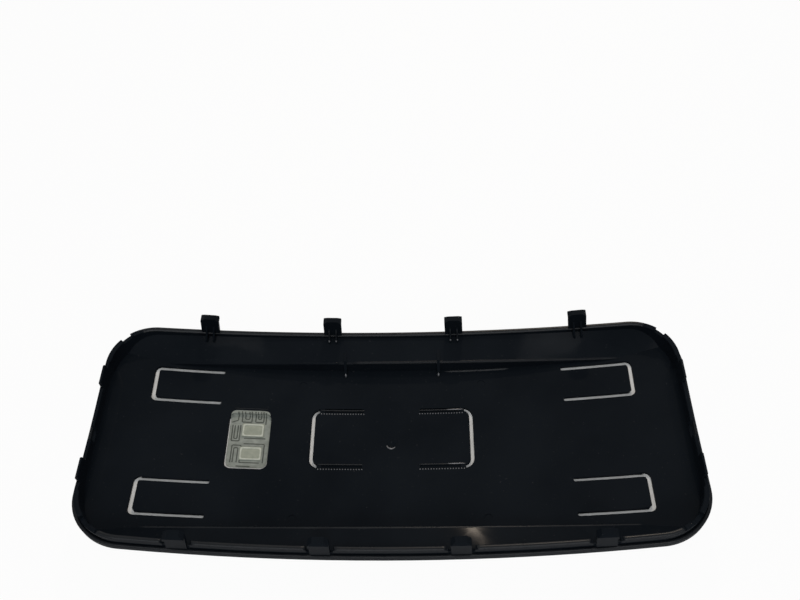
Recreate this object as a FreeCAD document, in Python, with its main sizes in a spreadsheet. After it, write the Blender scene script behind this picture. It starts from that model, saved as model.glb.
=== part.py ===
import FreeCAD, Part
import os
import re
import Sketcher

# A heated mirror glass on its moulded backing plate, lying on the glass with the back of the plate up.
# X runs along the plate, Y across it and Z up. The origin is the middle of the glass, on its front face.
# Far is +Y and near is -Y.

sizes = {
    "plate_width": 433.0,  # bezel, outside, along X
    "plate_depth": 176.6,  # bezel, outside, along Y
    "bow_radius": 5130.0,  # the long sides bow outwards a little
    "corner_radius": 36.0,
    "glass_radius": 1040.0,  # convex front face
    "glass_thickness": 2.2,
    "glass_inset": 3.2,  # bezel face beside the glass
    "glass_clearance": 0.3,
    "film_thickness": 0.3,
    "bond_gap": 0.15,  # adhesive on each side of the film
    "film_inset": 9.0,
    "floor_thickness": 2.5,
    "wall": 2.4,
    "bezel_rise": 5.0,  # ledge of the bezel above the floor
    "bezel_slope": 2.8,  # front edge of the bezel: how far it slopes inwards
    "bezel_slope_height": 5.6,
    "lip_inset": 2.4,
    "lip_width": 2.0,
    "lip_end_inset": 4.6,  # at the short sides
    "lip_height": 20.3,  # above the glass front
    "lip_step": 2.2,  # lip above the band beside it
    "bead_reach": 1.4,  # the top of the lip is thicker towards the outside
    "bead_end_reach": 0.4,
    "bead_height": 3.4,
    "recess_depth": 130.0,  # floor between the two bands
    "recess_shift": -2.8,
    "band_height": 19.0,  # inner edge above the glass front, at mid length
    "band_sag_radius": 4700.0,
    "band_bevel": 1.2,
    "cavity_length": 290.0,  # hollow under each band
    "slot_width": 3.4,
    "slot_leg_x": 180.0,
    "slot_arm_length": 50.6,
    "slot_row_y": 45.2,
    "slot_arm_spacing": 26.0,
    "slot_corner_radius": 5.0,
    "slot_end_radius": 1.2,
    "bracket_leg_x": 59.2,
    "bracket_arm_length": 38.0,
    "bracket_arm_spacing": 46.0,
    "bracket_shift": 4.9,
    "bracket_corner_radius": 8.0,
    "groove_depth": 1.2,
    "window_x": -106.0,
    "window_y": 1.5,
    "window_width": 31.0,
    "window_depth": 45.0,
    "window_corner_radius": 5.0,
    "pad_width": 16.0,
    "pad_depth": 10.5,
    "pad_thickness": 0.8,
    "pad_shift": 2.5,
    "pad_spacing": 19.0,
    "tongue_spacing": 94.2,
    "tongue_shift": 1.2,
    "tongue_width": 13.6,
    "tongue_thickness": 2.8,
    "tongue_height": 18.4,  # above the lip
    "tongue_chamfer": 3.0,
    "hook_reach": 2.8,
    "hook_height": 6.0,
    "hook_lead": 2.5,
    "notch_gap": 2.2,  # each side of a tongue
    "notch_drop": 5.0,  # below the top of the lip
    "corner_gap": 8.0,  # in the lip, at the middle of each corner
    "corner_gap_drop": 2.6,
    "end_gap": 10.0,  # in the lip of the short sides
    "end_gap_y": -7.0,
    "end_gap_drop": 7.0,
    "gusset_height": 9.0,
    "gusset_reach": 5.0,
    "gusset_thickness": 1.4,
    "gusset_spacing": 5.4,
    "end_tongue_y": 37.0,
    "end_tongue_width": 15.0,
    "end_tongue_height": 6.0,
    "end_tongue_bevel": 1.0,
    "rib_x": 36.0,
    "rib_thickness": 2.0,
    "rib_foot": 5.4,
    "rib_run": 16.0,
    "rib_rise": 1.6,
    "mark_x": 68.5,
    "mark_far_y": 49.0,
    "mark_near_y": 58.5,
    "mark_diameter": 6.0,
    "mark_depth": 0.4,
    "gate_diameter": 7.0,
    "gate_depth": 0.9,
}

doc = FreeCAD.newDocument("MirrorPlate")
sheet = doc.addObject("Spreadsheet::Sheet", "Sizes")
for row, (alias, size) in enumerate(sizes.items(), start=1):
    sheet.set(f"A{row}", alias)
    sheet.set(f"B{row}", str(size))
    sheet.setAlias(f"B{row}", alias)
doc.recompute()

# Heights above the glass front, measured at the middle of the glass
film_bottom_level = "(glass_thickness + bond_gap)"
film_top_level = "(glass_thickness + bond_gap + film_thickness)"
floor_underside = "(glass_thickness + film_thickness + 2 * bond_gap)"
floor_level = "(glass_thickness + film_thickness + 2 * bond_gap + floor_thickness)"

# Blocks of stock reach from under the glass to above the ends of the lip
stock_bottom = "(-wall)"
end_rise = "(glass_radius - sqrt(glass_radius^2 - plate_width^2 / 4 - plate_depth^2 / 4))"
stock_height = f"(lip_height + {end_rise} + 4 * wall)"

far_step_y = "(recess_shift + recess_depth / 2)"
near_step_y = "(recess_shift - recess_depth / 2)"


def full(expression):
    return re.sub("[a-z_]+", lambda word: "Sizes." + word[0] if word[0] in sizes else word[0], expression)


def value(expression):
    return float(sheet.evalExpression(full(expression)))


def bind(thing, prop, expression):
    thing.setExpression(prop, full(expression))


def pin(sketch, line, end, x, y):
    for kind, expression in (("DistanceX", x), ("DistanceY", y)):
        index = sketch.addConstraint(Sketcher.Constraint(kind, -1, 1, line, end, value(expression)))
        bind(sketch, f"Constraints[{index}]", expression)


def close_loop(sketch, joints):
    for line, end, other, other_end in joints:
        sketch.addConstraint(Sketcher.Constraint("Coincident", line, end, other, other_end))


def vector(x, y):
    return FreeCAD.Vector(value(x), value(y), 0)


def draw_polygon(sketch, corners):
    count = len(corners)
    for index, corner in enumerate(corners):
        following = corners[(index + 1) % count]
        sketch.addGeometry(Part.LineSegment(vector(*corner), vector(*following)))
    close_loop(sketch, [(index, 2, (index + 1) % count, 1) for index in range(count)])
    for index, corner in enumerate(corners):
        pin(sketch, index, 1, *corner)


def body_sketch(body):
    sketch = body.newObject("Sketcher::SketchObject", body.Name + "Sketch")
    plane = [feature for feature in body.Origin.OriginFeatures if feature.Role == "XY_Plane"][0]
    sketch.AttachmentSupport = [(plane, "")]
    sketch.MapMode = "FlatFace"
    return sketch


def raise_stock(body, sketch):
    pad = body.newObject("PartDesign::Pad", body.Name + "Pad")
    pad.Profile = sketch
    bind(pad, "Length", stock_height)
    bind(body, "Placement.Base.z", stock_bottom)
    doc.recompute()
    return pad


def round_upright_edges(body, radius, corners=None):
    # Rounds the upright edges at the given plan points, or all of them
    tip = body.Tip
    chosen = []
    for index, edge in enumerate(tip.Shape.Edges, start=1):
        first, last = edge.Vertexes[0].Point, edge.Vertexes[-1].Point
        if abs(first.x - last.x) > 1e-6 or abs(first.y - last.y) > 1e-6:
            continue
        places = [vector(*corner) for corner in corners or []]
        near = [place for place in places if abs(place.x - first.x) + abs(place.y - first.y) < 1e-4]
        if corners is None or near:
            chosen.append(f"Edge{index}")
    fillet = body.newObject("PartDesign::Fillet", body.Name + "Round")
    fillet.Base = (tip, chosen)
    bind(fillet, "Radius", radius)
    doc.recompute()


def outline_block(name, inset, end_inset=None):
    # Upright block with the plate's outline, moved inwards by inset, at the short sides by end_inset
    body = doc.addObject("PartDesign::Body", name)
    sketch = body_sketch(body)
    x = f"(plate_width / 2 - ({end_inset or inset}))"
    radius = f"(bow_radius - ({inset}))"
    middle = "(plate_depth / 2 - bow_radius)"
    y = f"({middle} + sqrt({radius}^2 - {x}^2))"
    left, right = f"(-{x})", x
    near, far = f"(-{y})", y
    sketch.addGeometry(Part.LineSegment(vector(right, near), vector(right, far)))
    far_top = FreeCAD.Vector(0, value(middle) + value(radius), 0)
    sketch.addGeometry(Part.Arc(vector(right, far), far_top, vector(left, far)))
    sketch.addGeometry(Part.LineSegment(vector(left, far), vector(left, near)))
    sketch.addGeometry(Part.Arc(vector(left, near), far_top * -1, vector(right, near)))
    close_loop(sketch, [(0, 2, 1, 1), (1, 2, 2, 1), (2, 2, 3, 1), (3, 2, 0, 1)])
    pin(sketch, 0, 1, right, near)
    pin(sketch, 0, 2, right, far)
    pin(sketch, 2, 1, left, far)
    pin(sketch, 2, 2, left, near)
    for arc in (1, 3):
        index = sketch.addConstraint(Sketcher.Constraint("Radius", arc, value(radius)))
        bind(sketch, f"Constraints[{index}]", radius)
    raise_stock(body, sketch)
    round_upright_edges(body, f"corner_radius - ({inset})")
    return body


def polygon_block(name, corners):
    body = doc.addObject("PartDesign::Body", name)
    sketch = body_sketch(body)
    draw_polygon(sketch, corners)
    raise_stock(body, sketch)
    return body


def slot_block(name, leg_x, arm_length, row_y, spacing, corner_radius):
    # A U of one slot width: its leg at leg_x and two arms that run towards the middle of the plate
    outer = f"({leg_x} + slot_width / 2)"
    inner = f"({leg_x} - slot_width / 2)"
    tip = f"({leg_x} - {arm_length})"
    far = f"({row_y} + ({spacing} + slot_width) / 2)"
    far_in = f"({row_y} + ({spacing} - slot_width) / 2)"
    near = f"({row_y} - ({spacing} + slot_width) / 2)"
    near_in = f"({row_y} - ({spacing} - slot_width) / 2)"
    tips = [(tip, far), (tip, far_in), (tip, near_in), (tip, near)]
    inside = [(inner, far_in), (inner, near_in)]
    outside = [(outer, near), (outer, far)]
    body = polygon_block(name, tips[:2] + inside + tips[2:] + outside)
    round_upright_edges(body, corner_radius, outside)
    round_upright_edges(body, f"{corner_radius} - slot_width", inside)
    round_upright_edges(body, "slot_end_radius", tips)
    return body


def rectangle_block(name, x, y, width, depth):
    left, right = f"({x} - {width} / 2)", f"({x} + {width} / 2)"
    near, far = f"({y} - {depth} / 2)", f"({y} + {depth} / 2)"
    return polygon_block(name, [(left, near), (right, near), (right, far), (left, far)])


def glass_sphere(name, height):
    # Ball whose lowest point is at the given height; its poles and seam lie away from the plate
    ball = doc.addObject("Part::Sphere", name)
    bind(ball, "Radius", f"glass_radius - {height}")
    ball.Placement = FreeCAD.Placement(FreeCAD.Vector(), FreeCAD.Rotation(FreeCAD.Vector(1, 0, 0), 90))
    bind(ball, "Placement.Base.z", "glass_radius")
    return ball


def ball_rise(height, x, y):
    # Z of such a ball's surface at a point of the plan
    return f"(glass_radius - sqrt((glass_radius - {height})^2 - ({x})^2 - ({y})^2))"


def cut(name, base, tool):
    result = doc.addObject("Part::Cut", name)
    result.Base, result.Tool = base, tool
    return result


def common(name, base, tool):
    result = doc.addObject("Part::Common", name)
    result.Base, result.Tool = base, tool
    return result


def fuse(name, pieces):
    result = doc.addObject("Part::MultiFuse", name)
    result.Shapes = pieces
    return result


def mirrored(source, normal):
    copy = doc.addObject("Part::Mirroring", source.Name + "Mirror")
    copy.Source = source
    copy.Normal = normal
    return copy


def arched_section(name, half_length, y, height, sag_radius):
    # Upright section across Y whose top edge is an arc that dips to the given height at mid length
    sketch = doc.addObject("Sketcher::SketchObject", name)
    sketch.Placement = FreeCAD.Placement(FreeCAD.Vector(), FreeCAD.Rotation(FreeCAD.Vector(1, 0, 0), 90))
    bind(sketch, "Placement.Base.y", y)
    left, right = f"(-{half_length})", half_length
    end_height = f"({height} + {sag_radius} - sqrt({sag_radius}^2 - ({half_length})^2))"
    sketch.addGeometry(Part.LineSegment(vector(left, stock_bottom), vector(right, stock_bottom)))
    sketch.addGeometry(Part.LineSegment(vector(right, stock_bottom), vector(right, end_height)))
    dip = FreeCAD.Vector(0, value(height), 0)
    sketch.addGeometry(Part.Arc(vector(left, end_height), dip, vector(right, end_height)))
    sketch.addGeometry(Part.LineSegment(vector(left, end_height), vector(left, stock_bottom)))
    close_loop(sketch, [(0, 2, 1, 1), (1, 2, 2, 2), (2, 1, 3, 1), (3, 2, 0, 1)])
    pin(sketch, 0, 1, left, stock_bottom)
    pin(sketch, 0, 2, right, stock_bottom)
    pin(sketch, 1, 2, right, end_height)
    pin(sketch, 3, 1, left, end_height)
    index = sketch.addConstraint(Sketcher.Constraint("Radius", 2, value(sag_radius)))
    bind(sketch, f"Constraints[{index}]", sag_radius)
    return sketch


def ruled_block(name, half_length, sections):
    # Ruled through upright sections of different arcs, so its top faces twist
    loft = doc.addObject("Part::Loft", name)
    loft.Sections = [arched_section(name + "Section", half_length, *section) for section in sections]
    loft.Solid = True
    loft.Ruled = True
    return loft


def extrude_evenly(name, sketch, length):
    block = doc.addObject("Part::Extrusion", name)
    block.Base = sketch
    block.DirMode = "Normal"
    block.Solid = True
    block.Symmetric = True
    bind(block, "LengthFwd", length)
    return block


def profile_block(name, corners, thickness):
    # Profile in Y and Z, extruded evenly to both sides along X
    sketch = doc.addObject("Sketcher::SketchObject", name + "Profile")
    sketch.Placement = FreeCAD.Placement(FreeCAD.Vector(), FreeCAD.Rotation(90, 0, 90))
    draw_polygon(sketch, corners)
    return extrude_evenly(name, sketch, thickness)


def front_block(name, corners, depth):
    # Profile in X and Z, extruded evenly to both sides along Y
    sketch = doc.addObject("Sketcher::SketchObject", name + "Profile")
    sketch.Placement = FreeCAD.Placement(FreeCAD.Vector(), FreeCAD.Rotation(FreeCAD.Vector(1, 0, 0), 90))
    draw_polygon(sketch, corners)
    return extrude_evenly(name, sketch, depth)


def copy_at(source, name, x, y, z, turn="0", axis=(0, 0, 1)):
    copy = doc.addObject("App::Link", name)
    copy.LinkedObject = source
    copy.Placement = FreeCAD.Placement(FreeCAD.Vector(), FreeCAD.Rotation(FreeCAD.Vector(axis), value(turn)))
    bind(copy, "Placement.Rotation.Angle", turn)
    for direction, expression in (("x", x), ("y", y), ("z", z)):
        bind(copy, f"Placement.Base.{direction}", expression)
    return copy


def slope_front_edge(name, blank, inwards, height):
    # Bevels the outer edge of the front face, which is the face of the largest ball
    body = doc.addObject("PartDesign::Body", name)
    body.BaseFeature = blank
    doc.recompute()
    base = body.Tip
    balls = [face for face in base.Shape.Faces if isinstance(face.Surface, Part.Sphere)]
    front = max(balls, key=lambda face: face.Surface.Radius)
    rim = front.OuterWire.Edges
    edges = enumerate(base.Shape.Edges, start=1)
    chosen = [f"Edge{index}" for index, edge in edges if any(map(edge.isSame, rim))]
    bevel = body.newObject("PartDesign::Chamfer", name + "Bevel")
    bevel.Base = (base, chosen)
    bevel.ChamferType = "Two distances"
    bind(bevel, "Size", height)
    bind(bevel, "Size2", inwards)
    doc.recompute()
    return body


front_face = glass_sphere("FrontFace", "0")
glass_back = glass_sphere("GlassBack", "glass_thickness")
floor_bottom = glass_sphere("FloorBottom", floor_underside)
floor_top = glass_sphere("FloorTop", floor_level)

# Floor: everything under the recess surface, inside the lip
lip_block = outline_block("LipBlock", "lip_inset", "lip_end_inset")
inside_block = outline_block("InsideBlock", "lip_inset + lip_width", "lip_end_inset + lip_width")
floor = cut("Floor", lip_block, floor_top)

# Raised bands along the long sides, bevelled where they step down to the recess
lip_middle_y = "(plate_depth / 2 - lip_inset - lip_width / 2)"
rim_radius = f"sqrt((glass_radius - lip_height + lip_step)^2 - {lip_middle_y}^2)"
rim_height = f"(glass_radius - {rim_radius})"
sides = (("Far", far_step_y, lip_middle_y, "+"), ("Near", near_step_y, f"(-{lip_middle_y})", "-"))
bands = []
for side, step_y, rim_y, sign in sides:
    ruled = ruled_block(side + "BandRuled", "(plate_width / 2)", [
        (step_y, "(band_height - band_bevel)", "band_sag_radius"),
        (f"({step_y} {sign} band_bevel)", "band_height", "band_sag_radius"),
        (rim_y, rim_height, rim_radius),
    ])
    bands.append(common(side + "Band", ruled, lip_block))

# Lip round the edge: a wall of one height above the glass, with a bead outside along its top
lip_top = glass_sphere("LipTop", "lip_height")
bead_bottom = glass_sphere("BeadBottom", "(lip_height - bead_height)")
bead_block = outline_block("BeadBlock", "lip_inset - bead_reach", "lip_end_inset - bead_end_reach")
lip_bead = common("LipBead", cut("BeadRing", bead_block, lip_block), bead_bottom)
lip = cut("Lip", fuse("LipStock", [cut("LipRing", lip_block, inside_block), lip_bead]), lip_top)

# Bezel round the glass: a ledge outside the lip, and a front edge that slopes in towards the glass
bezel_ledge = glass_sphere("BezelLedge", f"({floor_level} + bezel_rise)")
bezel_block = outline_block("BezelBlock", "0")
bezel_ring = common("BezelRing", cut("BezelWall", bezel_block, inside_block), front_face)
bezel_blank = cut("BezelBlank", bezel_ring, bezel_ledge)
bezel = slope_front_edge("Bezel", bezel_blank, "bezel_slope", "bezel_slope_height")

# The glass lies in a pocket on the front, and the bands are hollow above it
pocket_block = outline_block("PocketBlock", "glass_inset - glass_clearance")
pocket = cut("GlassPocket", pocket_block, floor_bottom)
hollows = []
for side, step_y, rim_y, sign in sides:
    ruled = ruled_block(side + "HollowRuled", "(cavity_length / 2)", [
        (f"({step_y} {sign} wall)", "(band_height - wall)", "band_sag_radius"),
        (rim_y, f"({rim_height} - wall)", rim_radius),
    ])
    hollows.append(common(side + "Hollow", ruled, inside_block))

# Slots through the floor: a U at each corner, the legs of two brackets at the middle, the heater window
slot_sizes = ("slot_row_y", "slot_arm_spacing", "slot_corner_radius")
corner_slot = slot_block("CornerSlot", "slot_leg_x", "slot_arm_length", *slot_sizes)
slots = [corner_slot, mirrored(corner_slot, (1, 0, 0)), mirrored(corner_slot, (0, 1, 0))]
slots.append(mirrored(slots[1], (0, 1, 0)))
bracket_sizes = ("bracket_shift", "bracket_arm_spacing", "bracket_corner_radius")
bracket_leg = slot_block("BracketLeg", "bracket_leg_x", "bracket_corner_radius", *bracket_sizes)
slots += [bracket_leg, mirrored(bracket_leg, (1, 0, 0))]
window = rectangle_block("Window", "window_x", "window_y", "window_width", "window_depth")
round_upright_edges(window, "window_corner_radius")
slots.append(window)

# Shallow marks in the floor: the arms of the brackets, the round marks of the mould and its gate
groove_floor = glass_sphere("GrooveFloor", f"({floor_level} - groove_depth)")
mark_floor = glass_sphere("MarkFloor", f"({floor_level} - mark_depth)")
bracket_arms = slot_block("BracketArms", "bracket_leg_x", "bracket_arm_length", *bracket_sizes)
groove = common("BracketGroove", bracket_arms, groove_floor)
marks = [groove, mirrored(groove, (1, 0, 0))]
for side, y in (("Far", "mark_far_y"), ("Near", "-mark_near_y")):
    mould_pin = doc.addObject("Part::Cylinder", side + "MouldPin")
    bind(mould_pin, "Radius", "mark_diameter / 2")
    bind(mould_pin, "Height", stock_height)
    bind(mould_pin, "Placement.Base.x", "mark_x")
    bind(mould_pin, "Placement.Base.y", y)
    mark = common(side + "Mark", mould_pin, mark_floor)
    marks += [mark, mirrored(mark, (1, 0, 0))]
gate = doc.addObject("Part::Sphere", "GateMark")
gate_radius = "((gate_diameter^2 / 4 + gate_depth^2) / (2 * gate_depth))"
bind(gate, "Radius", gate_radius)
bind(gate, "Placement.Base.z", f"{floor_level} - gate_depth + {gate_radius}")
marks.append(gate)

# Snap tongue of the long sides, with Y outwards from the outer face of the bead and Z from the lip's top
stem_inside = "(-tongue_thickness)"
stem_base = "(-notch_drop - wall)"
hook_base = "(tongue_height - hook_height)"
tongue_side = profile_block("TongueSide", [
    (stem_inside, stem_base),
    ("0", stem_base),
    ("0", hook_base),
    ("hook_reach", hook_base),
    ("hook_reach", "(tongue_height - hook_lead)"),
    ("hook_reach / 2", "tongue_height"),
    (stem_inside, "tongue_height"),
], "tongue_width")
shoulder = "(tongue_height - tongue_chamfer)"
tongue_front = front_block("TongueFront", [
    ("-tongue_width / 2", stem_base),
    ("tongue_width / 2", stem_base),
    ("tongue_width / 2", shoulder),
    ("(tongue_width / 2 - tongue_chamfer)", "tongue_height"),
    ("(tongue_chamfer - tongue_width / 2)", "tongue_height"),
    ("-tongue_width / 2", shoulder),
], "2 * (tongue_thickness + hook_reach)")
gusset_base = "(-lip_step - wall)"
gusset_toe = "(-bead_reach - lip_width - gusset_reach)"
gusset = profile_block("Gusset", [
    ("(-tongue_thickness / 2)", gusset_base),
    ("(-tongue_thickness / 2)", "gusset_height"),
    (stem_inside, "gusset_height"),
    (gusset_toe, "(-lip_step)"),
    (gusset_toe, gusset_base),
], "gusset_thickness")
blade = common("TongueBlade", tongue_side, tongue_front)
gusset_places = ("gusset_spacing / 2", "-gusset_spacing / 2")
gussets = [copy_at(gusset, "TongueGusset", x, "0", "0") for x in gusset_places]
tongue = fuse("Tongue", [blade] + gussets)


def lip_notch(name, drop, width):
    inside, outside = "(-2 * (bead_reach + lip_width))", "(2 * bead_reach)"
    corners = [(inside, f"(-{drop})"), (outside, f"(-{drop})"), (outside, drop), (inside, drop)]
    return profile_block(name, corners, width)


notch = lip_notch("TongueNotch", "notch_drop", "(tongue_width + 2 * notch_gap)")
corner_notch = lip_notch("CornerNotch", "corner_gap_drop", "corner_gap")
end_notch = lip_notch("EndNotch", "end_gap_drop", "end_gap")

# Low tongue of the short sides, in line with the lip
end_tongue = profile_block("EndTongue", [
    ("(-lip_width)", "(-wall)"),
    ("0", "(-wall)"),
    ("0", "(end_tongue_height - end_tongue_bevel)"),
    ("(-end_tongue_bevel)", "end_tongue_height"),
    ("(-lip_width)", "end_tongue_height"),
], "end_tongue_width")


# The tongues stand square on the curved lip, so each leans towards the middle
near_tongue = mirrored(tongue, (0, 1, 0))
near_notch = mirrored(notch, (0, 1, 0))
tongues, notches = [], []
for index in (-3, -1, 1, 3):
    x = f"(tongue_shift + {index} * tongue_spacing / 2)"
    y = f"(plate_depth / 2 - bow_radius + sqrt((bow_radius - lip_inset + bead_reach)^2 - {x}^2))"
    lean = f"(-asin({x} / (glass_radius - lip_height)))"
    for blade_source, notch_source, sign in ((tongue, notch, ""), (near_tongue, near_notch, "-")):
        place = (x, sign + y, ball_rise("lip_height", x, y), lean, (0, 1, 0))
        tongues.append(copy_at(blade_source, "LongSideTongue", *place))
        notches.append(copy_at(notch_source, "LongSideNotch", *place))
end_x = "(plate_width / 2 - lip_end_inset)"
for x, turn in ((end_x, "-90"), (f"(-{end_x})", "90")):
    for y in ("end_tongue_y", "(-end_tongue_y)"):
        tongues.append(copy_at(end_tongue, "EndSideTongue", x, y, ball_rise("lip_height", end_x, y), turn))
    gap_rise = ball_rise("lip_height", end_x, "end_gap_y")
    notches.append(copy_at(end_notch, "EndGap", x, "end_gap_y", gap_rise, turn))

# A gap in the lip at the middle of each corner
corner_reach = "((corner_radius - lip_inset) * sqrt(0.5))"
corner_centre_x = "(plate_width / 2 - lip_end_inset - corner_radius + lip_inset)"
corner_span = f"sqrt((bow_radius - corner_radius)^2 - {corner_centre_x}^2)"
corner_x = f"({corner_centre_x} + {corner_reach})"
corner_y = f"(plate_depth / 2 - bow_radius + {corner_span} + {corner_reach})"
for x, y, turn in (("", "", "-45"), ("-", "", "45"), ("-", "-", "135"), ("", "-", "-135")):
    place = (x + corner_x, y + corner_y, ball_rise("lip_height", corner_x, corner_y))
    notches.append(copy_at(corner_notch, "CornerGap", *place, turn))

# Two ribs that stay the far step: from a foot on the floor, over the step and along the band
rib_base = f"({ball_rise(floor_level, 'rib_x', far_step_y)} - floor_thickness / 2)"
rib_inside = f"({far_step_y} + wall / 2)"
rib_foot_y = f"({far_step_y} - rib_foot)"
rib_end_y = f"({far_step_y} + rib_run)"
rib = profile_block("Rib", [
    (rib_foot_y, rib_base),
    (rib_inside, rib_base),
    (rib_inside, "(band_height - wall / 2)"),
    (rib_end_y, "band_height"),
    (rib_end_y, "(band_height + rib_rise)"),
    (rib_inside, "(band_height + rib_rise)"),
    (rib_foot_y, f"({rib_base} + rib_thickness)"),
], "rib_thickness")
ribs = [copy_at(rib, "StepRib", x, "0", "0") for x in ("rib_x", "-rib_x")]

shell = fuse("Shell", [floor, cut("NotchedLip", lip, fuse("Notches", notches)), bezel] + bands)
trimmed = common("TrimmedShell", shell, front_face)
pocketed = cut("PocketedShell", trimmed, pocket)
hollowed = cut("HollowShell", pocketed, fuse("Hollows", hollows))
slotted = cut("SlottedShell", hollowed, fuse("Slots", slots))
marked = cut("MarkedShell", slotted, fuse("Marks", marks))
backing_plate = fuse("BackingPlate", [marked] + tongues + ribs)

glass_block = outline_block("GlassBlock", "glass_inset")
mirror_glass = cut("MirrorGlass", common("GlassStock", glass_block, front_face), glass_back)

film_block = outline_block("FilmBlock", "film_inset")
film_bottom = glass_sphere("FilmBottom", film_bottom_level)
film_top = glass_sphere("FilmTop", film_top_level)
heater_film = cut("HeaterFilm", common("FilmStock", film_block, film_bottom), film_top)

pad_top = glass_sphere("PadTop", f"({floor_underside} + pad_thickness)")
pads = []
for side, sign in (("Far", "+"), ("Near", "-")):
    pad_y = f"(window_y {sign} pad_spacing / 2)"
    pad_x = "(window_x + pad_shift)"
    pad_block = rectangle_block(side + "PadBlock", pad_x, pad_y, "pad_width", "pad_depth")
    pads.append(cut(side + "Pad", common(side + "PadStock", pad_block, floor_bottom), pad_top))
heater_terminals = fuse("HeaterTerminals", pads)

doc.recompute()
nodes = {
    "backing_plate": backing_plate,
    "mirror_glass": mirror_glass,
    "heater_film": heater_film,
    "heater_terminals": heater_terminals,
}
failed = [thing.Name for thing in doc.Objects if "Invalid" in thing.State or "Error" in thing.State]
if failed:
    raise RuntimeError("not built: " + ", ".join(failed))
for label, node in nodes.items():
    node.Label = label
    if node.Shape.isNull() or not node.Shape.isValid():
        raise RuntimeError(label + " has no valid shape")
os.makedirs("parts", exist_ok=True)
for label, node in nodes.items():
    node.Shape.exportStep(f"parts/{label}.step")
    print(label, "solids", len(node.Shape.Solids), "volume", round(node.Shape.Volume))
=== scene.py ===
import bmesh
import bpy
import numpy as np
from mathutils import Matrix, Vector


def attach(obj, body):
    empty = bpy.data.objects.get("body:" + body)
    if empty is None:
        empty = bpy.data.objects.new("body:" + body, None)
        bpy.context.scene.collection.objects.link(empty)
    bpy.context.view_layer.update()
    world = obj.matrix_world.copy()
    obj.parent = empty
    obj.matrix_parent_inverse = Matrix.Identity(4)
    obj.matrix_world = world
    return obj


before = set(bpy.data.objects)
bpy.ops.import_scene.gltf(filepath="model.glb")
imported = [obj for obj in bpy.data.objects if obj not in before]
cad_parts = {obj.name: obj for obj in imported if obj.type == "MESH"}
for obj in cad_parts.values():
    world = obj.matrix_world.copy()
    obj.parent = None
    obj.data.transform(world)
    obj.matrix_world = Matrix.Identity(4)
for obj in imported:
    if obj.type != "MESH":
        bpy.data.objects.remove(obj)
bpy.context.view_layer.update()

scene = bpy.context.scene
white = (1.0, 1.0, 1.0, 1.0)
print("frame loaded", sorted(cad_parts))


class Value:  # wraps a socket, so that sums on values add their own Math nodes
    def __init__(self, tree, socket):
        self.tree = tree
        self.socket = socket

    def math(self, operation, *others):
        node = self.tree.nodes.new("ShaderNodeMath")
        node.operation = operation
        for place, item in enumerate((self,) + others):
            feed(self.tree, node.inputs[place], item)
        return Value(self.tree, node.outputs[0])

    def __add__(self, other):
        return self.math("ADD", other)

    __radd__ = __add__

    def __mul__(self, other):
        return self.math("MULTIPLY", other)

    __rmul__ = __mul__

    def __sub__(self, other):
        return self.math("SUBTRACT", other)

    def __rsub__(self, other):
        return (self * -1.0) + other

    def clamped(self):
        return self.math("MAXIMUM", 0.0).math("MINIMUM", 1.0)

    def above(self, edge, steepness):  # 0 below the edge, then up to 1 at the given steepness
        return ((self - edge) * steepness).clamped()


def feed(tree, socket, item):  # links a wrapped socket, or sets a plain number or colour
    if isinstance(item, Value):
        tree.links.new(item.socket, socket)
    else:
        socket.default_value = item


class Shading:  # one node tree, of a material or the world
    def __init__(self, tree):
        self.tree = tree

    def node(self, kind, settings=None, sockets=None, out=0):
        node = self.tree.nodes.new(kind)
        for key, setting in (settings or {}).items():
            setattr(node, key, setting)
        for key, item in (sockets or {}).items():
            feed(self.tree, node.inputs[key], item)
        return Value(self.tree, node.outputs[out])

    def seenRays(self):
        # 1 for the rays that show the background: from the camera, off a gloss or through a clear body
        camera, glossy, clear = (self.node("ShaderNodeLightPath", out="Is " + kind + " Ray")
                                 for kind in ("Camera", "Glossy", "Transmission"))
        return (camera + glossy + clear).clamped()


texture = {"detail": 3.0, "roughness": 0.55}
mix = {"amount": 0, "first": 6, "second": 7, "result": 2}  # places of a Mix node's sockets for colours


class Finish(Shading):  # one material, with its shader ready to be fed
    def __init__(self, name):
        self.material = bpy.data.materials.new(name)
        self.material.use_nodes = True
        super().__init__(self.material.node_tree)
        self.shader = self.tree.nodes["Principled BSDF"]
        self.place = self.node("ShaderNodeTexCoord", out="Object")

    def noise(self, scale, detail=texture["detail"]):
        sockets = {"Vector": self.place, "Scale": scale, "Detail": detail, "Roughness": texture["roughness"]}
        return self.node("ShaderNodeTexNoise", sockets=sockets)

    def blend(self, amount, first, second):  # colour mix by a value
        sockets = {mix["amount"]: amount, mix["first"]: first, mix["second"]: second}
        return self.node("ShaderNodeMix", {"data_type": "RGBA"}, sockets, mix["result"])

    def bump(self, height, strength, distance):
        sockets = {"Height": height, "Strength": strength, "Distance": distance}
        return self.node("ShaderNodeBump", sockets=sockets)

    def put(self, sockets):
        for key, item in sockets.items():
            feed(self.tree, self.shader.inputs[key], item)

    def on(self, piece):
        piece.data.materials.clear()
        piece.data.materials.append(self.material)


plastic = {
    "dark": (0.0039, 0.0055, 0.0078, 1.0),
    "light": (0.0053, 0.0073, 0.0100, 1.0),
    "dust": (0.030, 0.031, 0.034, 1.0),
    "specular": 0.012,
    "roughness": 0.36,
    "coat": 0.022,
    "coatRoughness": 0.09,
    "coatEdge": 0.2,
    "coatSteepness": 2.5,
    "smudgeScale": 16.0,
    "smudgeEdge": 0.35,
    "smudgeSteepness": 3.0,
    "smudgeRoughness": 0.14,
    "grainScale": 1500.0,
    "grainDetail": 2.0,
    "grainRoughness": 0.05,
    "grainStrength": 0.25,
    "grainDepth": 0.00003,
    "dustScale": 620.0,
    "dustDetail": 1.0,
    "dustEdge": 0.73,
    "dustSteepness": 14.0,
    "dustShare": 0.6,
    "dustRoughness": 0.2,
}


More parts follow.
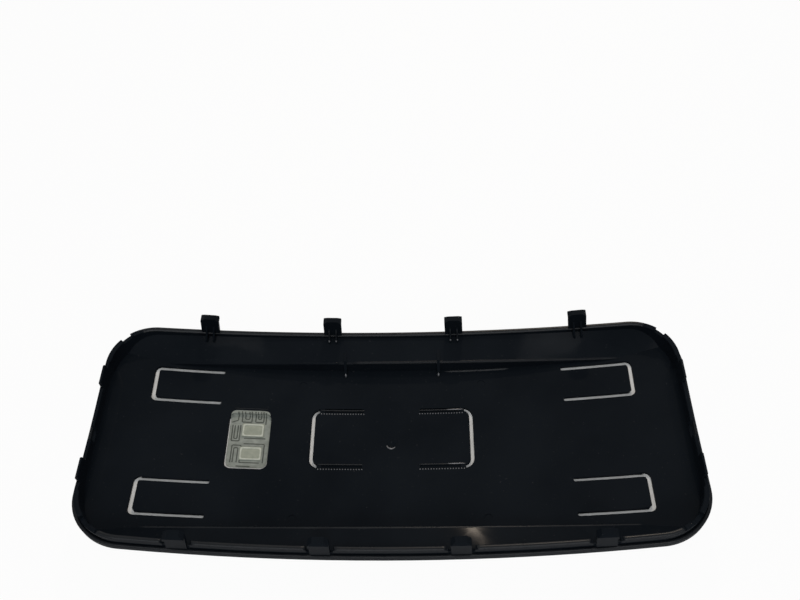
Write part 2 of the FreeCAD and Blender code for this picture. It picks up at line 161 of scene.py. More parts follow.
def blackPlastic():  # moulded blue-black, with a fine grain, faint smudges and a little dust
    finish = Finish("blackPlastic")
    smudge = finish.noise(plastic["smudgeScale"])
    grain = finish.noise(plastic["grainScale"], plastic["grainDetail"])
    dust = finish.noise(plastic["dustScale"], plastic["dustDetail"])
    dust = dust.above(plastic["dustEdge"], plastic["dustSteepness"])
    smudged = smudge.above(plastic["smudgeEdge"], plastic["smudgeSteepness"])
    body = finish.blend(smudged, plastic["dark"], plastic["light"])
    roughness = plastic["roughness"] + plastic["smudgeRoughness"] * smudge
    roughness = roughness + plastic["grainRoughness"] * grain + plastic["dustRoughness"] * dust
    finish.put({
        "Base Color": finish.blend(dust * plastic["dustShare"], body, plastic["dust"]),
        "Roughness": roughness,
        "Specular IOR Level": plastic["specular"],
        "Coat Weight": plastic["coat"] * smudge.above(plastic["coatEdge"], plastic["coatSteepness"]),
        "Coat Roughness": plastic["coatRoughness"],
        "Normal": finish.bump(grain, plastic["grainStrength"], plastic["grainDepth"]),
    })
    return finish


paintedSheen = {
    "roughness": 0.2,
    "sheenScale": 70.0,
    "sheenThreshold": 0.3,
    "sheenSteepness": 2.2,
    "sheenRoughness": 0.12,
    "grainScale": 900.0,
    "grainDetail": 2.0,
    "grainRoughness": 0.04,
    "tones": {  # dark and light colour and specular level of each kind of edge; each colour is painted sheen, lighter than the plastic
        "paintedSheenEdge": ((0.0050, 0.0065, 0.0086, 1.0), (0.0085, 0.0103, 0.0128, 1.0), 0.10),
        # lighter copy of the plastic for the lit part of the far step's round: painted light
        "paintedLitStepEdge": ((0.0045, 0.0058, 0.0078, 1.0), (0.0075, 0.0090, 0.0112, 1.0), 0.06),
        # near-white colour painted on small rounds as a glint
        "paintedGlint": ((0.070, 0.073, 0.080, 1.0), (0.120, 0.124, 0.132, 1.0), 0.4),
    },
}


def paintedSheenEdge(name, dark, light, specular):  # the same plastic on rounded edges: glossier, and lighter in colour as painted sheen, mottled at random
    finish = Finish(name)
    sheenNoise = finish.noise(paintedSheen["sheenScale"])
    grain = finish.noise(paintedSheen["grainScale"], paintedSheen["grainDetail"])
    sheenMottle = sheenNoise.above(paintedSheen["sheenThreshold"], paintedSheen["sheenSteepness"])
    finish.put({
        "Base Color": finish.blend(sheenMottle, dark, light),
        "Roughness": paintedSheen["roughness"] + paintedSheen["sheenRoughness"] * sheenNoise + paintedSheen["grainRoughness"] * grain,
        "Specular IOR Level": specular,
    })
    return finish


glass = {
    "dark": (0.78, 0.78, 0.77, 1.0),
    "light": (0.84, 0.84, 0.83, 1.0),
    "hazeScale": 40.0,
    "roughness": 0.02,
    "hazeRoughness": 0.03,
}


def mirrorGlass():  # silvered glass with a faint haze
    finish = Finish("mirrorGlass")
    haze = finish.noise(glass["hazeScale"])
    finish.put({
        "Base Color": finish.blend(haze, glass["dark"], glass["light"]),
        "Metallic": 1.0,
        "Roughness": glass["roughness"] + glass["hazeRoughness"] * haze,
    })
    return finish


layer = {
    "specular": 0.3,
    "roughness": 0.42,
    "hazeEdge": 0.3,
    "hazeSteepness": 2.5,
    "hazeRoughness": 0.2,
    "toothScale": 2200.0,
    "toothDetail": 2.0,
    "toothStrength": 0.2,
    "toothDepth": 0.00003,
    "tones": {  # dark and light colour of each layer, and the scale of its haze
        "silverFoil": ((0.49, 0.50, 0.50, 1.0), (0.64, 0.65, 0.65, 1.0), 120.0),
        "heaterField": ((0.145, 0.162, 0.145, 1.0), (0.228, 0.248, 0.225, 1.0), 240.0),
        "heaterGap": ((0.030, 0.036, 0.030, 1.0), (0.060, 0.068, 0.058, 1.0), 300.0),
        "palePad": ((0.208, 0.229, 0.188, 1.0), (0.272, 0.290, 0.238, 1.0), 260.0),
        "padRim": ((0.36, 0.385, 0.33, 1.0), (0.47, 0.49, 0.43, 1.0), 300.0),
    },
}


def paleLayer(name, dark, light, scale):  # pale film, print or tinned metal, cloudy and with a fine tooth
    finish = Finish(name)
    haze = finish.noise(scale)
    tooth = finish.noise(layer["toothScale"], layer["toothDetail"])
    hazy = haze.above(layer["hazeEdge"], layer["hazeSteepness"])
    finish.put({
        "Base Color": finish.blend(hazy, dark, light),
        "Roughness": layer["roughness"] + layer["hazeRoughness"] * haze,
        "Specular IOR Level": layer["specular"],
        "Normal": finish.bump(tooth, layer["toothStrength"], layer["toothDepth"]),
    })
    return finish


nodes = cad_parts
moulded = blackPlastic()
edge, paintedLitStepEdge, paintedGlint = (paintedSheenEdge(name, *tone) for name, tone in paintedSheen["tones"].items())
foil, field, gap, pad, padRim = (paleLayer(name, *tone) for name, tone in layer["tones"].items())
moulded.on(nodes["backing_plate"])
mirrorGlass().on(nodes["mirror_glass"])
foil.on(nodes["heater_film"])
pad.on(nodes["heater_terminals"])
print("materials set")

plate = {  # outline and levels of the moulded plate, in metres
    "width": 0.433,
    "depth": 0.1766,
    "bowRadius": 5.130,
    "cornerRadius": 0.036,
    "glassRadius": 1.040,
    "filmLevel": 0.00265,
    "floorLevel": 0.0053,
    "ledgeLevel": 0.0103,
    "lipLevel": 0.0203,
    "tonguePlaces": (-1.5, -0.5, 0.5, 1.5),  # in tongue spacings from the middle
    "tongueSpacing": 0.0942,
    "tongueShift": 0.0012,
}
tongueCentres = plate["tongueShift"] + np.array(plate["tonguePlaces"]) * plate["tongueSpacing"]


def ballHeight(level, x, y):  # height of the glass's ball, moved up by level, over a point of the plan
    return plate["glassRadius"] - np.sqrt((plate["glassRadius"] - level) ** 2 - x ** 2 - y ** 2)


build = {  # distance of welding, thickness of sheets and blocks, and the angle from which an edge is sharp
    "weld": 0.000005,
    "sheet": 0.00015,
    "block": 0.0022,
    "sharpAngle": 50.0,
}


def addMesh(name, points, faces, finish, thickness=0.0):
    # seams and poles are merged and the faces turned outwards; an open sheet looks up and is thickened below
    used, corners = np.unique(faces, return_inverse=True)
    mesh = bpy.data.meshes.new(name)
    mesh.from_pydata(points.reshape(-1, 3)[used].tolist(), [], corners.reshape(-1, faces.shape[-1]).tolist())
    shell = bmesh.new()
    shell.from_mesh(mesh)
    bmesh.ops.remove_doubles(shell, verts=shell.verts, dist=build["weld"])
    if not thickness:
        bmesh.ops.recalc_face_normals(shell, faces=shell.faces)
    shell.to_mesh(mesh)
    shell.free()
    normals = np.zeros(len(mesh.polygons) * 3)
    mesh.polygons.foreach_get("normal", normals)
    if thickness and normals[2::3].sum() < 0:
        mesh.flip_normals()
    mesh.polygons.foreach_set("use_smooth", np.ones(len(mesh.polygons), bool))
    mesh.set_sharp_from_angle(angle=np.radians(build["sharpAngle"]))
    mesh.update()
    piece = bpy.data.objects.new(name, mesh)
    scene.collection.objects.link(piece)
    if thickness:
        wall = piece.modifiers.new("wall", "SOLIDIFY")
        wall.thickness = thickness
        wall.offset = -1.0
    finish.on(piece)
    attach(piece, "root")


def gridFaces(rows, columns):  # one face for each cell of a grid of points
    index = np.arange(rows * columns).reshape(rows, columns)
    return np.stack([index[:-1, :-1], index[1:, :-1], index[1:, 1:], index[:-1, 1:]], -1)


def alongPath(path):  # unit steps along a path: its gradient over its own length
    run = np.gradient(path, axis=0)
    return run / np.linalg.norm(run, axis=1, keepdims=True)


rim = {"step": 0.0015, "cornerPoints": 40}


def rimPath(inset, endInset):
    # one quarter runs along the straight end, round the corner arc and along the bowed side to the middle;
    # the other quarters are its reflections, and all points carry their outward normals
    bow, corner = plate["bowRadius"], plate["cornerRadius"]
    cornerX = plate["width"] / 2 - endInset - (corner - inset)
    bowMiddle = plate["depth"] / 2 - bow
    lean = np.arcsin(cornerX / (bow - corner))
    cornerY = bowMiddle + (bow - corner) * np.cos(lean)
    endY = np.linspace(0, cornerY, int(cornerY / rim["step"]), endpoint=False)
    turn = np.linspace(0, np.pi / 2 - lean, rim["cornerPoints"], endpoint=False)
    swing = np.linspace(lean, 0, int(cornerX / rim["step"]))
    x = np.concatenate([np.full_like(endY, plate["width"] / 2 - endInset),
                        cornerX + (corner - inset) * np.cos(turn), (bow - inset) * np.sin(swing)])
    y = np.concatenate([endY, cornerY + (corner - inset) * np.sin(turn),
                        bowMiddle + (bow - inset) * np.cos(swing)])
    angle = np.concatenate([np.zeros_like(endY), turn, np.pi / 2 - swing])
    quarter = np.stack([x, y, np.cos(angle), np.sin(angle)], 1)
    half = np.concatenate([quarter, quarter[-2::-1] * (-1, 1, -1, 1)])
    return np.concatenate([half, half[1:] * (-1, -1, -1, -1)])


def sweepRim(name, path, offsets, levels, keep, finish, thickness=build["sheet"]):
    # profile of outward offsets and levels, carried along the rim; keep drops the stretches that stay bare
    x = path[:, None, 0] + path[:, None, 2] * offsets
    y = path[:, None, 1] + path[:, None, 3] * offsets
    points = np.stack([x, y, ballHeight(levels, x, y)], -1)
    faces = gridFaces(*x.shape)[keep[:-1] & keep[1:]]
    addMesh(name, points, faces, finish, thickness)


lip = {
    "width": 0.0034,
    "endWidth": 0.0024,
    "crown": 0.0007,
    "crownPoints": 13,
    "inset": 0.0010,
    "endInset": 0.0042,
    "sideNormal": 0.9,  # least part of the normal across a side, and along the plate at an end
    "endNormal": 0.999,
    "notchHalf": 0.0090,
    "notchDrop": 0.0054,
    "webLap": 0.0012,
    "endTongueY": 0.037,
    "endTongueHalf": 0.0075,
    "endGapY": -0.007,
    "endGapHalf": 0.005,
    "cornerGapHalf": 0.004,
    "fade": 0.002,
    "bareRoom": -0.0003,
    "tuck": 0.00004,
}


def addLip():
    # crown: a half ellipse across the lip's top, which fades out at every gap;
    # web: the lip's own section, carried through the notches of the far side
    path = rimPath(lip["inset"], lip["endInset"])
    x, y = path[:, 0], path[:, 1]
    onSide = np.abs(path[:, 3]) > lip["sideNormal"]
    onEnd = np.abs(path[:, 2]) > lip["endNormal"]
    tongueRoom = np.abs(x[:, None] - tongueCentres).min(1) - lip["notchHalf"]
    sideRoom = np.where(y > 0, lip["fade"], tongueRoom)
    endRoom = np.minimum(np.abs(np.abs(y) - lip["endTongueY"]) - lip["endTongueHalf"],
                         np.abs(y - lip["endGapY"]) - lip["endGapHalf"])
    slant = np.abs(np.abs(path[:, 2]) - np.abs(path[:, 3])) * plate["cornerRadius"] / np.sqrt(2)
    room = np.where(onSide, sideRoom, np.where(onEnd, endRoom, slant - lip["cornerGapHalf"]))
    fade = np.sqrt(np.clip(room / lip["fade"], 0, 1))[:, None]
    share = np.linspace(0, np.pi, lip["crownPoints"])
    width = np.where(onEnd, lip["endWidth"], lip["width"])[:, None]
    offsets = -width / 2 * (1 - np.cos(share))
    levels = plate["lipLevel"] - lip["tuck"] + lip["crown"] * np.sin(share) * fade
    bare = room < lip["bareRoom"]
    # the crown carries painted sheen along the sides, and plain plastic at the ends
    sweepRim("lipCrownSides", path, offsets, levels, onSide & ~bare, edge)
    sweepRim("lipCrownEnds", path, offsets, levels, ~onSide & ~bare, moulded)
    webOffsets = np.array([lip["tuck"] - lip["width"]] * 2 + [-lip["tuck"]] * 2) + 0 * path[:, :1]
    webLevels = plate["lipLevel"] - np.array([lip["notchDrop"], lip["tuck"], lip["tuck"], lip["notchDrop"]])
    inNotch = onSide & (y > 0) & (tongueRoom < lip["webLap"])
    sweepRim("lipWebs", path, webOffsets, webLevels + 0 * webOffsets, inNotch, moulded)


ledge = {"width": 0.0024, "edge": 0.00004, "crown": 0.0006, "points": 9}


def addLedge():
    # rounded ledge of the bezel in painted sheen: a quarter ellipse that falls from the lip to the outer edge
    path = rimPath(0, 0)
    share = np.linspace(0, np.pi / 2, ledge["points"])
    offsets = -ledge["width"] + (ledge["width"] - ledge["edge"]) * np.sin(share) + 0 * path[:, :1]
    levels = plate["ledgeLevel"] - ledge["edge"] / 2 + ledge["crown"] * np.cos(share)
    sweepRim("ledgeRound", path, offsets, levels, np.ones(len(path), bool), edge)


cove = {"inset": 0.0044, "endInset": 0.0066, "radius": 0.009, "reach": 0.060, "fade": 0.022, "points": 13}


def addCoves():
    # hollow round between the floor and the end walls: a quarter circle and the corner behind it, whose
    # radius falls to nothing before the two steps
    path = rimPath(cove["inset"], cove["endInset"])
    atEnd = np.abs(path[:, 0]) > plate["width"] / 2 - plate["cornerRadius"]
    share = np.clip((cove["reach"] - np.abs(path[:, 1])) / cove["fade"], 0, 1) * atEnd
    radius = cove["radius"] * (share * share * (3 - 2 * share))[:, None]
    turn = np.linspace(0, np.pi / 2, cove["points"])
    offsets = radius * np.concatenate([np.sin(turn) - 1, [0, -1]]) + lip["tuck"]
    levels = plate["floorLevel"] - lip["tuck"] + radius * np.concatenate([1 - np.cos(turn), [0, 0]])
    full = share > 0
    grown = full | np.roll(full, 1) | np.roll(full, -1)
    sweepRim("endCoves", path, offsets, levels, grown, moulded, 0.0)


addLip()
addLedge()
addCoves()
print("rim rounded")

tube = {"points": 13, "taper": 0.06}


def addTube(name, path, radius, finish, taper=tube["taper"]):
    # circle carried along a path; its radius falls to nothing over a share of the length at both ends
    run = alongPath(path)
    across = np.cross(run, (0, 0, 1))
    across = across / np.linalg.norm(across, axis=1, keepdims=True)
    rise = np.cross(across, run)
    part = np.linspace(0, 1, len(path))
    ring = radius * np.sqrt(np.clip(np.minimum(part, 1 - part) / taper, 0, 1))[:, None, None]
    angle = np.linspace(0, 2 * np.pi, tube["points"])[:, None]
    points = path[:, None] + ring * (across[:, None] * np.cos(angle) + rise[:, None] * np.sin(angle))
    addMesh(name, points, gridFaces(*points.shape[:2]), finish)


step = {
    "far": 0.0622,
    "near": -0.0678,
    "height": 0.019,
    "sagRadius": 4.700,
    "halfLength": 0.175,
    "points": 90,
    "round": 0.00156,
    "setBack": 0.0014,
    "taper": 0.02,
    "litStart": -0.036,
    "footRadius": 0.0016,
    "footDrop": 0.0011,
    "footStart": 0.036,
    "footEnd": 0.095,
    "footPoints": 50,
    "footTaper": 0.15,
}


def addSteps():
    # rounds of the two steps along their arc, and a fillet line at the foot of the far one, right of its
    # ribs; the near round and the foot line carry painted sheen
    x = np.linspace(-step["halfLength"], step["halfLength"], step["points"])
    sag = step["sagRadius"] - np.sqrt(step["sagRadius"] ** 2 - x ** 2)
    top = step["height"] - step["setBack"] + sag
    far = np.stack([x, 0 * x + step["far"] + step["setBack"], top], 1)
    near = np.stack([x, 0 * x + step["near"] - step["setBack"], top], 1)
    # right of litStart the far round is a lighter copy of the plastic as painted light where the lamp falls;
    # left of it, plain plastic
    addTube("farStepRound", far[x > step["litStart"]], step["round"], paintedLitStepEdge, step["taper"])
    addTube("farStepRoundLeft", far[x < step["litStart"]], step["round"], moulded, step["taper"])
    addTube("nearStepRound", near, step["round"], edge, step["taper"])
    foot = np.linspace(step["footStart"], step["footEnd"], step["footPoints"])
    y = 0 * foot + step["far"] - step["footRadius"] / 2
    height = ballHeight(plate["floorLevel"], foot, y) - step["footDrop"]
    addTube("farStepFoot", np.stack([foot, y, height], 1), step["footRadius"], edge, step["footTaper"])


rib = {
    "x": 0.036,
    "foot": 0.0568,
    "length": 0.0034,
    "radius": 0.0009,
    "slope": 0.9,
    "taper": 0.3,
    "points": 12,
}
gusset = {
    "spread": 0.0027,
    "top": (-0.0029, 0.0085),  # outwards from the lip's edge, and up from its top
    "toe": (-0.0085, -0.0019),
    "radius": 0.0006,
    "taper": 0.2,
    "points": 12,
    "toeGrowth": 1.2,
    "toeTaper": 0.4,
    "toePoints": 4,
}


def addRibTips():
    # small rounds on the feet of the ribs and along the gussets of the two middle tongues: straight tubes,
    # the rib feet and gusset toes as painted glints, the gussets in painted sheen
    for name, x in (("ribTipLeft", -rib["x"]), ("ribTipRight", rib["x"])):
        y = np.linspace(rib["foot"] - rib["radius"] / 2, rib["foot"] + rib["length"], rib["points"])
        height = ballHeight(plate["floorLevel"], x, y) + rib["radius"] + (y - rib["foot"]) * rib["slope"]
        addTube(name, np.stack([0 * y + x, y, height], 1), rib["radius"], paintedGlint, rib["taper"])
    for place, middle in zip(("Left", "Right"), tongueCentres[1:3]):
        for side, shift in (("A", -gusset["spread"]), ("B", gusset["spread"])):
            out, up = np.linspace(gusset["top"], gusset["toe"], gusset["points"]).T
            x = middle + shift - up * middle / (plate["glassRadius"] - plate["lipLevel"])
            y = plate["depth"] / 2 - lip["inset"] + out
            base = ballHeight(plate["lipLevel"], middle, plate["depth"] / 2 - lip["inset"])
            path = np.stack([x, y, base + up], 1)
            toe, toeRadius = path[-gusset["toePoints"]:], gusset["radius"] * gusset["toeGrowth"]
            addTube("gusset" + place + side, path, gusset["radius"], edge, gusset["taper"])
            addTube("gussetToe" + place + side, toe, toeRadius, paintedGlint, gusset["toeTaper"])


gate = {"radius": 0.0034, "start": 185.0, "end": 330.0, "bead": 0.0007, "taper": 0.5, "points": 24}


def addGate():  # painted highlight: crescent on the near edge of the gate mark, a tube along part of a circle
    angle = np.radians(np.linspace(gate["start"], gate["end"], gate["points"]))
    x, y = gate["radius"] * np.cos(angle), gate["radius"] * np.sin(angle)
    path = np.stack([x, y, ballHeight(plate["floorLevel"], x, y)], 1)
    addTube("gateCrescent", path, gate["bead"], paintedGlint, gate["taper"])


addSteps()
addRibTips()
addGate()
print("creases and edges rounded")

bracket = {
    "tip": 0.0212,
    "through": 0.0512,
    "legX": 0.0592,
    "halfSlot": 0.00172,
    "webEnd": 0.0545,
    "webLap": 0.0006,
    "webLevel": 0.0052,
    "webGrid": (8, 12),
    "linerWidth": 0.0008,
    "linerPoints": 3,
    "bendRadius": 0.0063,
    "bendAngle": 75.0,
    "bendPoints": 14,
    "lineLead": 0.0015,
    "lineRadius": 0.0005,
    "linePoints": 40,
    "glintStart": 0.040,
    "glintPoints": 20,
    "glintTaper": 0.4,
    "toothPitch": 0.0020,
    "toothRadius": 0.00055,
    "toothSink": 0.00005,
    "toothReach": (0, 1, 0.87, 0.5, 0),  # profile of a dome, from the middle of its foot to its top
    "toothRise": (0, 0, 0.5, 0.87, 1),
    "toothPoints": 11,
}
arms = {  # line, teeth and slot of each arm: their places across the plate
    "Far": {"line": 0.0281, "teeth": 0.0252, "slot": 0.0279},
    "Near": {"line": -0.0162, "teeth": -0.0200, "slot": -0.0181},
}


def addPatch(name, xEnds, yEnds):  # small web inside a slot: a grid of the plan, following the floor
    columns, rows = bracket["webGrid"]
    x, y = np.meshgrid(np.linspace(*xEnds, columns), np.linspace(*yEnds, rows), indexing="ij")
    points = np.stack([x, y, ballHeight(bracket["webLevel"], x, y)], -1)
    addMesh(name, points, gridFaces(*x.shape), moulded, build["block"])


def addArm(name, side, setting):
    # round line in painted sheen along the far edge of the arm, and a row of small domes along its near edge
    # as painted glints
    x = side * np.linspace(bracket["tip"] - bracket["lineLead"], bracket["webEnd"], bracket["linePoints"])
    y = 0 * x + setting["line"]
    path = np.stack([x, y, ballHeight(plate["floorLevel"], x, y)], 1)
    addTube("armLine" + name, path, bracket["lineRadius"], edge)
    middle = side * np.arange(bracket["tip"], bracket["webEnd"], bracket["toothPitch"])[:, None, None]
    reach = bracket["toothRadius"] * np.array(bracket["toothReach"])[:, None]
    angle = np.linspace(0, 2 * np.pi, bracket["toothPoints"])
    x = middle + reach * np.cos(angle)
    y = setting["teeth"] + reach * np.sin(angle) + 0 * x
    rise = bracket["toothRadius"] * np.array(bracket["toothRise"])[:, None] - bracket["toothSink"]
    points = np.stack([x, y, ballHeight(plate["floorLevel"], x, y) + rise], -1)
    cell = gridFaces(*points.shape[1:3]).reshape(-1, 4)
    faces = cell + points.shape[1] * points.shape[2] * np.arange(len(points))[:, None, None]
    addMesh("armTeeth" + name, points, faces, paintedGlint)
    webX = sorted((side * (bracket["through"] - bracket["webLap"]), side * bracket["webEnd"]))
    webY = (setting["slot"] - bracket["halfSlot"], setting["slot"] + bracket["halfSlot"])
    addPatch("slotWeb" + name, webX, webY)
    if side > 0:  # painted glint on the lines of the right arms, where the lamp's highlight falls
        x = np.linspace(bracket["glintStart"], bracket["webEnd"], bracket["glintPoints"])
        y = 0 * x + setting["line"]
        height = ballHeight(plate["floorLevel"], x, y) + bracket["lineRadius"] / 2
        path = np.stack([x, y, height], 1)
        addTube("armGlint" + name, path, bracket["lineRadius"], paintedGlint, bracket["glintTaper"])


for armName, armSetting in arms.items():
    addArm(armName + "Left", -1, armSetting)
    addArm(armName + "Right", 1, armSetting)


def addLiner(name, side, offset):
    # strip along one edge of a bracket's leg and round the two bends at its ends: two arcs about the middles
    # of the bends, joined by the straight between them
    turn = np.radians(np.linspace(bracket["bendAngle"], 0, bracket["bendPoints"]))
    radius = bracket["bendRadius"]
    far, near = arms["Far"]["slot"] - radius, arms["Near"]["slot"] + radius
    angle = np.concatenate([turn, -turn[::-1]])
    middleY = np.concatenate([0 * turn + far, 0 * turn + near])
    reach = radius + offset + np.linspace(0, bracket["linerWidth"], bracket["linerPoints"])
    x = side * (bracket["legX"] - radius + np.cos(angle)[:, None] * reach)
    y = middleY[:, None] + np.sin(angle)[:, None] * reach
    points = np.stack([x, y, ballHeight(bracket["webLevel"], x, y)], -1)
    addMesh(name, points, gridFaces(*x.shape), moulded, build["block"])


addLiner("slotLinerLeft", -1, bracket["halfSlot"] - bracket["linerWidth"])
addLiner("slotLinerRight", 1, -bracket["halfSlot"])
print("bracket arms dressed")

cornerSlot = {
    "legX": 0.180,
    "legHalf": 0.0097,
    "legLiner": 0.00045,
    "rowY": 0.0452,
    "armShift": 0.013,
    "halfSlot": 0.0017,
    "tip": 0.1280,
    "bend": 0.1765,
    "farLiner": 0.00035,
    "nearLiner": 0.0007,
    "overlap": 0.0002,
}


def addCornerLiners(name, side, rowY, armLiner):
    # strips that narrow a corner slot, along the far edge of each arm and the left edge of its leg
    xEnds = sorted((side * cornerSlot["tip"], side * cornerSlot["bend"]))
    for arm, shift in (("Upper", cornerSlot["armShift"]), ("Lower", -cornerSlot["armShift"])):
        edgeY = rowY + shift + cornerSlot["halfSlot"]
        addPatch("armLiner" + name + arm, xEnds, (edgeY - armLiner, edgeY + cornerSlot["overlap"]))
    edgeX = side * cornerSlot["legX"] - cornerSlot["halfSlot"]
    xEnds = (edgeX - cornerSlot["overlap"], edgeX + cornerSlot["legLiner"])
    addPatch("legLiner" + name, xEnds, (rowY - cornerSlot["legHalf"], rowY + cornerSlot["legHalf"]))


for sideName, sideSign in (("Left", -1), ("Right", 1)):
    addCornerLiners("Far" + sideName, sideSign, cornerSlot["rowY"], cornerSlot["farLiner"])
    addCornerLiners("Near" + sideName, sideSign, -cornerSlot["rowY"], cornerSlot["nearLiner"])
print("corner slots lined")

window = {
    "x": -0.106,
    "y": 0.0015,
    "halfWidth": 0.0150,
    "near": -0.0208,
    "far": 0.0248,
    "roundness": 9.0,
    "outlinePoints": 181,
    "rings": 70,
    "cutHalfWidth": 0.0155,
    "cutFar": 0.0225,
    "cutCorner": 0.005,
    "climb": 0.0004,
    "lapLevel": 0.00538,
    "lift": 0.00028,
    "edgeGap": 0.0016,
    "edgeHalf": 0.0132,
    "edgeRadius": 0.00028,
    "edgePoints": 30,
}


def onFilm(x, y, lift):
    # point of the print, from the window's middle, at a height above the film; within a short way of the
    # rounded far corners of the cut it climbs the wall, and past them it lies on the floor
    corner = window["cutCorner"]
    past = np.hypot(np.maximum(np.abs(x) - window["cutHalfWidth"] + corner, 0),
                    np.maximum(y - window["cutFar"] + corner, 0)) - corner
    climb = np.clip(past / window["climb"] + 1, 0, 1)
    level = plate["filmLevel"] + window["lift"]
    level = level + climb * (window["lapLevel"] - level) + lift
    x, y = window["x"] + x, window["y"] + y
    return np.stack([x, y, ballHeight(level, x, y)], -1)


def squircle(angle, roundness):
    # unit superellipse in polar form: the nth powers of cosine and sine are summed, and the radius is
    # that sum to the power -1/n
    reach = (np.abs(np.cos(angle)) ** roundness + np.abs(np.sin(angle)) ** roundness) ** (-1 / roundness)
    return reach * np.cos(angle), reach * np.sin(angle)


def addField():
    # superellipse of the window's size, filled by rings from its middle that close up towards its edge
    across, along = squircle(np.linspace(0, 2 * np.pi, window["outlinePoints"]), window["roundness"])
    halfDepth = (window["far"] - window["near"]) / 2
    ring = 1 - np.linspace(1, 0, window["rings"])[:, None] ** 2
    x = ring * window["halfWidth"] * across
    y = ring * halfDepth * along + (window["far"] + window["near"]) / 2
    addMesh("heaterField", onFilm(x, y, 0), gridFaces(*x.shape), field, build["sheet"])
    # thin round along the window's far edge in painted sheen, standing for the edge's highlight
    x = np.linspace(-window["edgeHalf"], window["edgeHalf"], window["edgePoints"])
    y = 0 * x + window["far"] + window["edgeGap"]
    addTube("windowEdge", onFilm(x, y, 0), window["edgeRadius"], edge)


line = {
    "width": 0.0009,
    "height": 0.00012,
    "corner": 0.0009,
    "acrossPoints": 7,
    "legPoints": 40,
    "turnPoints": 8,
    "flatPoints": 6,
    "barPoints": 40,
}


def bendPath(x, y, width, length, opening):
    # U of two legs and a flat bend with rounded corners, whose open end points far (1) or near (-1)
    half, corner = width / 2, line["corner"]
    leg = np.linspace(length, corner, line["legPoints"])
    turn = np.linspace(0, np.pi / 2, line["turnPoints"])[1:-1]
    flat = np.linspace(half - corner, 0, line["flatPoints"])
    across = np.concatenate([0 * leg + half, half - corner + corner * np.cos(turn), flat])
    along = np.concatenate([leg, corner - corner * np.sin(turn), 0 * flat])
    across = np.concatenate([across, -across[-2::-1]])
    along = np.concatenate([along, along[-2::-1]])
    return np.stack([x + across, y + opening * along], 1)


def addLine(name, path):
    # low strip with a rounded top, a half ellipse carried along a path on the film
    run = alongPath(path)
    share = np.linspace(0, np.pi, line["acrossPoints"])
    offset = line["width"] / 2 * np.cos(share)
    x = path[:, None, 0] - run[:, None, 1] * offset
    y = path[:, None, 1] + run[:, None, 0] * offset
    points = onFilm(x, y, line["height"] * np.sin(share))
    addMesh(name, points, gridFaces(*x.shape), gap, build["sheet"])


bends = {  # middle of the bend, width, length and opening of each U, from the window's middle
    "FarMiddle": (-0.0029, 0.0163, 0.0072, 0.0076, 1),
    "FarMiddleInner": (-0.0026, 0.0187, 0.0032, 0.0050, 1),
    "FarRight": (0.0065, 0.0165, 0.0060, 0.0074, 1),
    "FarRightInner": (0.0065, 0.0189, 0.0022, 0.0048, 1),
    "LeftUpper": (-0.0100, 0.0006, 0.0058, 0.0130, 1),
    "LeftUpperInner": (-0.0100, 0.0025, 0.0023, 0.0108, 1),
    "LeftLower": (-0.0084, -0.0029, 0.0066, 0.0140, -1),
    "LeftLowerInner": (-0.0086, -0.0050, 0.0029, 0.0117, -1),
}
bars = {  # two ends of each straight gap line
    "FarLeft": ((-0.0092, 0.0235), (-0.0094, 0.0176)),
    "LeftTop": ((-0.0094, 0.0176), (-0.0138, 0.0158)),
    "FarEnd": ((0.0113, 0.0232), (0.0113, 0.0147)),
    "MiddleFar": ((-0.0036, 0.0030), (0.0121, 0.0030)),
    "MiddleNear": ((-0.0034, -0.0015), (0.0119, -0.0015)),
    "RightEdge": ((0.0118, -0.0022), (0.0118, -0.0167)),
    "NearUpper": ((-0.0050, -0.0167), (0.0093, -0.0167)),
    "NearLower": ((-0.0071, -0.0196), (0.0030, -0.0198)),
}

padFrame = {
    "x": 0.0025,
    "places": {"Far": 0.0095, "Near": -0.0095},
    "halfWidth": 0.0072,
    "halfDepth": 0.0045,
    "roundness": 9.0,
    "outlinePoints": 181,
    "level": 0.0036,
    "sink": 0.00005,
    "width": 0.0013,
    "height": 0.0005,
    "acrossPoints": 9,
}


def addPadRim(name, place):
    # raised rim of one pad: a low half ellipse carried along a superellipse
    angle = np.linspace(0, 2 * np.pi, padFrame["outlinePoints"])[:, None]
    across, along = squircle(angle, padFrame["roundness"])
    share = np.linspace(0, np.pi, padFrame["acrossPoints"])
    grow = padFrame["width"] / 2 * np.cos(share)
    x = padFrame["x"] + (padFrame["halfWidth"] + grow) * across
    y = place + (padFrame["halfDepth"] + grow) * along
    lift = padFrame["level"] - plate["filmLevel"] - window["lift"] - padFrame["sink"]
    points = onFilm(x, y, lift + padFrame["height"] * np.sin(share))
    addMesh(name, points, gridFaces(*x.shape), padRim, build["sheet"])


addField()
for bendName, bend in bends.items():
    addLine("bend" + bendName, bendPath(*bend))
for barName, barEnds in bars.items():
    addLine("bar" + barName, np.linspace(*barEnds, line["barPoints"]))
for padName, padPlace in padFrame["places"].items():
    addPadRim("padRim" + padName, padPlace)
print("heater window dressed")

studio = {
    "floorSize": 6.0,
    "floorColour": (0.62, 0.62, 0.62, 1.0),
    "floorRoughness": 0.9,
    "backgroundShare": 0.95,
    "worldStrength": 0.38,
}


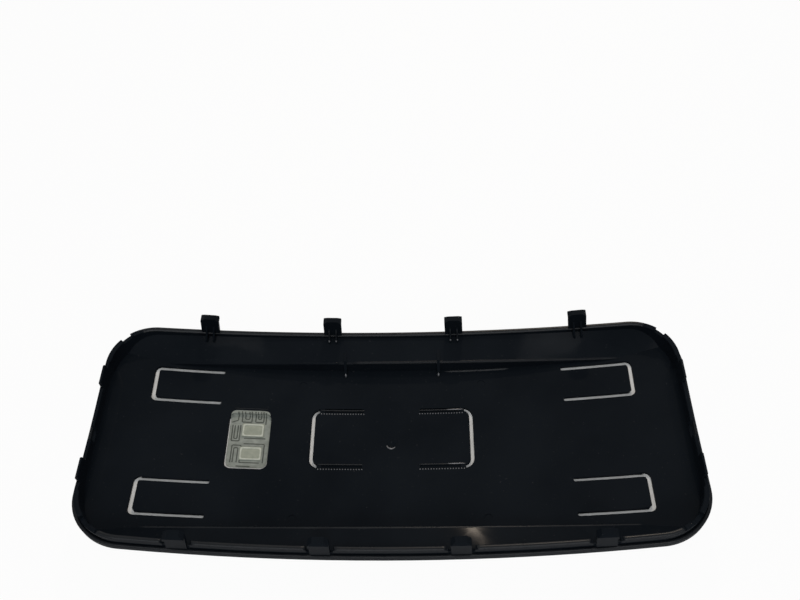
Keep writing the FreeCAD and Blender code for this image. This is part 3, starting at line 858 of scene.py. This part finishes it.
def paleFloor():  # one large face, which to the rays that show the background is nearly white
    half = studio["floorSize"] / 2
    corners = [[-half, -half, 0], [half, -half, 0], [half, half, 0], [-half, half, 0]]
    mesh = bpy.data.meshes.new("floor")
    mesh.from_pydata(corners, [], [[0, 1, 2, 3]])
    floor = bpy.data.objects.new("floor", mesh)
    scene.collection.objects.link(floor)
    finish = Finish("paleFloor")
    finish.put({"Base Color": studio["floorColour"], "Roughness": studio["floorRoughness"]})
    glow = finish.node("ShaderNodeEmission", sockets={"Color": white, "Strength": 1.0})
    lit = Value(finish.tree, finish.shader.outputs[0])
    share = finish.seenRays() * studio["backgroundShare"]
    mixed = finish.node("ShaderNodeMixShader", sockets={0: share, 1: lit, 2: glow})
    feed(finish.tree, finish.tree.nodes["Material Output"].inputs["Surface"], mixed)
    finish.on(floor)


paleFloor()

lamps = {
    "front": {"place": (0.1, -1.4, 0.9), "target": (0.0, 0.0, 0.0), "width": 0.8, "height": 0.8,
              "power": 9.0, "colour": (1.0, 1.0, 1.0)},
    "top": {"place": (0.0, -0.2, 1.5), "target": (0.0, 0.0, 0.0), "width": 0.5, "height": 0.5,
            "power": 5.0, "colour": (1.0, 1.0, 1.0)},
    "rear": {"place": (0.094, 0.90, 0.886), "target": (0.06, -0.07, 0.02), "width": 0.085, "height": 0.03,
             "power": 3.8, "colour": (1.0, 0.84, 0.68)},
}


def addLamp(name, setting):
    data = bpy.data.lights.new(name, "AREA")
    data.shape = "RECTANGLE"
    data.size = setting["width"]
    data.size_y = setting["height"]
    data.energy = setting["power"]
    data.color = setting["colour"]
    lamp = bpy.data.objects.new(name, data)
    scene.collection.objects.link(lamp)
    lamp.location = setting["place"]
    aim = Vector(setting["target"]) - Vector(setting["place"])
    lamp.rotation_euler = aim.to_track_quat("-Z", "Y").to_euler()


for lampName, lampSetting in lamps.items():
    addLamp(lampName, lampSetting)

world = bpy.data.worlds.new("studio")
scene.world = world
world.use_nodes = True
sky = Shading(world.node_tree)
seenShare = (1.0 - studio["worldStrength"]) * sky.seenRays()  # white to the camera, dimmer as a light
background = sky.tree.nodes["Background"].inputs
feed(sky.tree, background["Color"], white)
feed(sky.tree, background["Strength"], studio["worldStrength"] + seenShare)
print("studio lit")

view = {
    "place": (0.027256, -0.283161, 0.573225),
    "turn": (36.196, 1.885, 0.434),  # degrees about X, Y and Z
    "focalLength": 38.06,
    "sensorWidth": 36.0,
}
cameraData = bpy.data.cameras.new("camera")
cameraData.lens = view["focalLength"]
cameraData.sensor_width = view["sensorWidth"]
camera = bpy.data.objects.new("camera", cameraData)
scene.collection.objects.link(camera)
camera.location = view["place"]
camera.rotation_euler = np.radians(view["turn"])
scene.camera = camera
scene.view_settings.view_transform = "Standard"
print("camera set")
